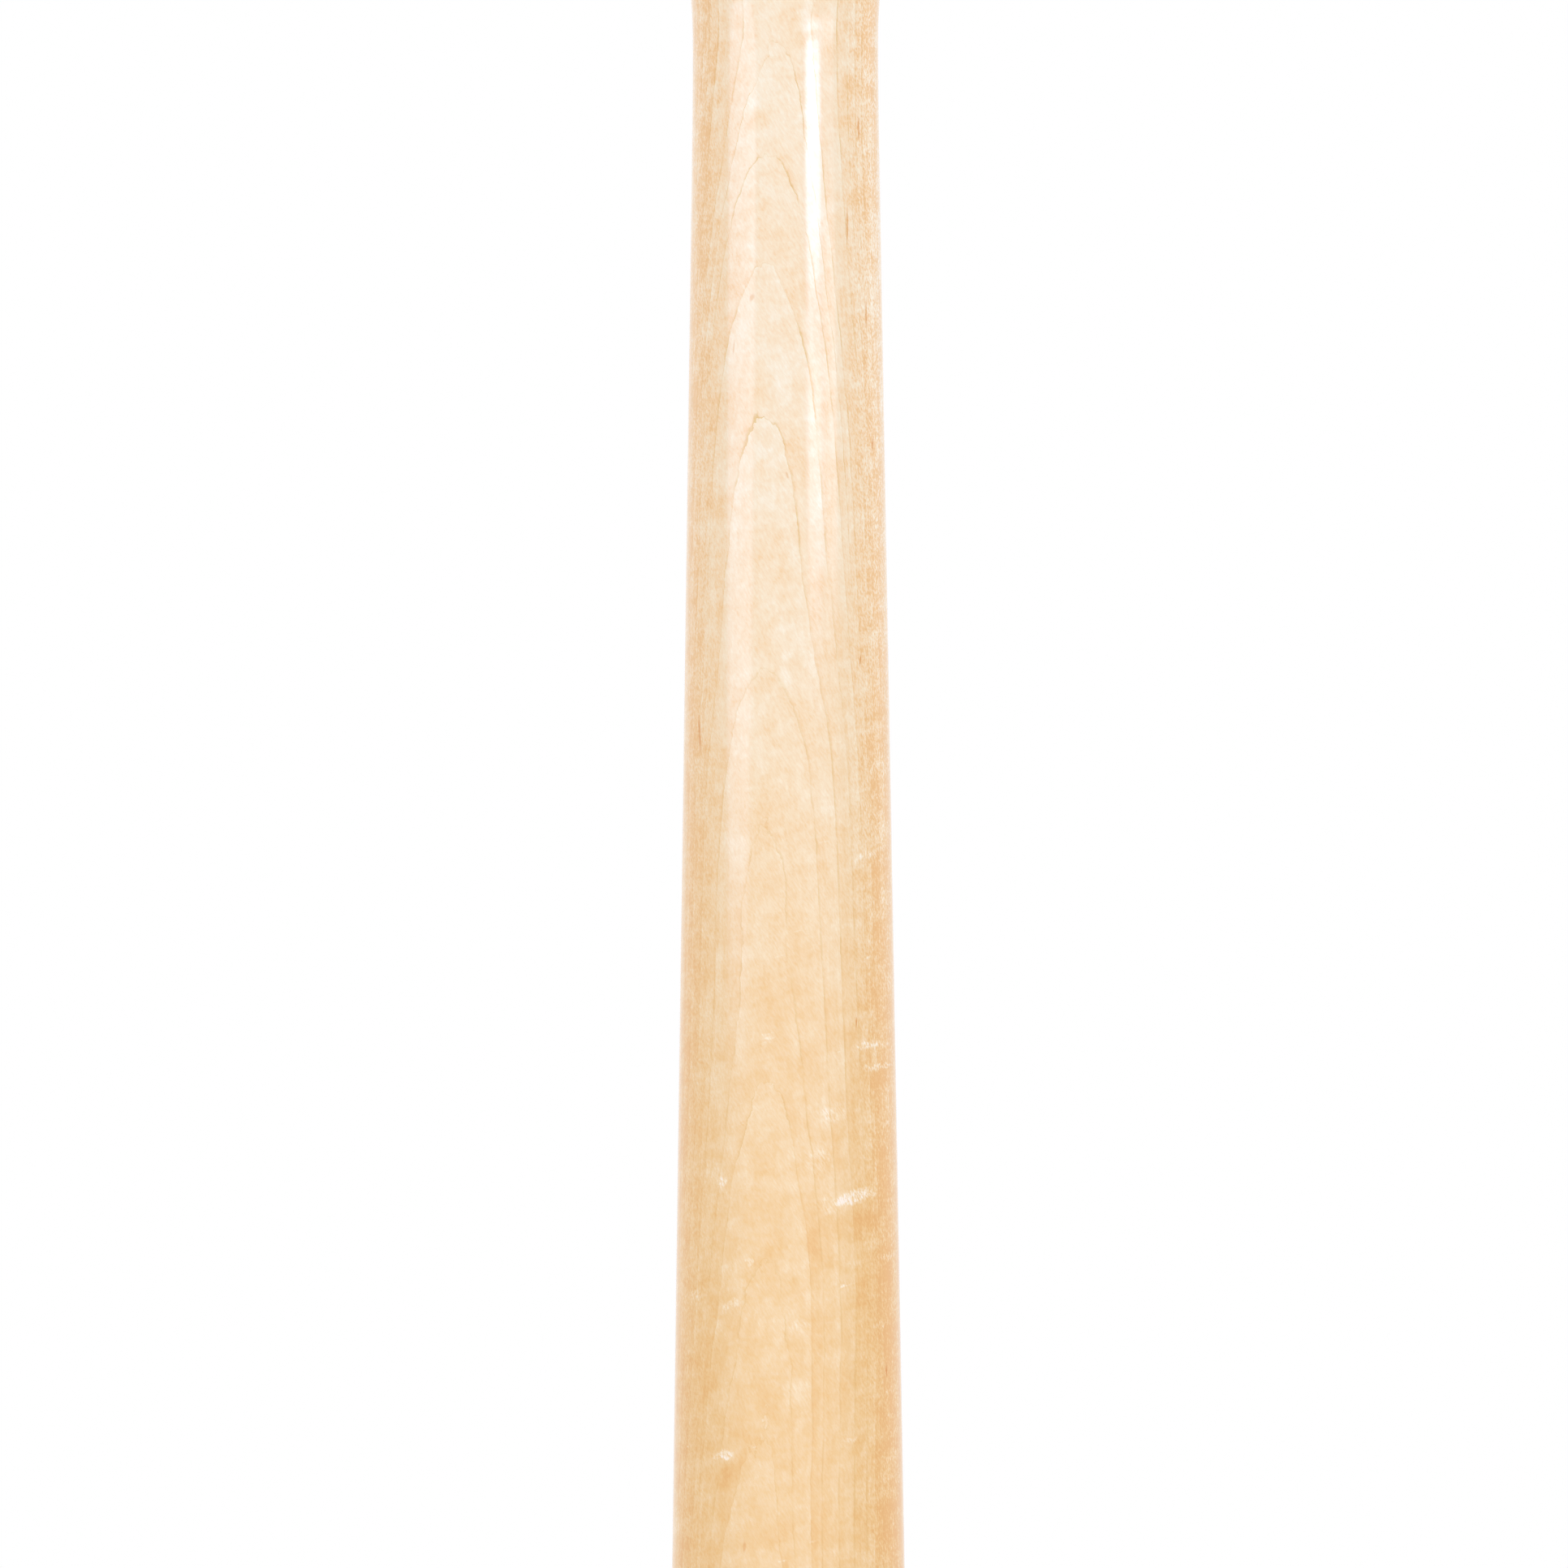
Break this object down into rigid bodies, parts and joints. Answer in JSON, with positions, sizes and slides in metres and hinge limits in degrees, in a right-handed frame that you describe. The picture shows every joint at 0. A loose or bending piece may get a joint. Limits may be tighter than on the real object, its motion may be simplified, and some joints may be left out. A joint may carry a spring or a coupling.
{
  "type": "baseball bat",
  "caption": "Turned wooden baseball bat with a rounded knob, slim bare handle, long taper, thick barrel and cupped end, for striking a ball.",
  "frame": {"origin": "centre of the flat rim of the cupped barrel end, on the bat's axis", "axes": "+Z along the bat's axis from the barrel end to the knob; +X and +Y across it, +Y through the flat-sawn face of the wood"},
  "size_m": [0.0634, 0.0634, 0.8382],
  "materials": {
    "maple": "natural, fine sanded",
    "lacquer": "clear high gloss"
  },
  "bodies": {
    "root": {"maple_body": "maple", "lacquer_coat": "lacquer", "cup_lacquer": "lacquer"}
  },
  "joints": []
}
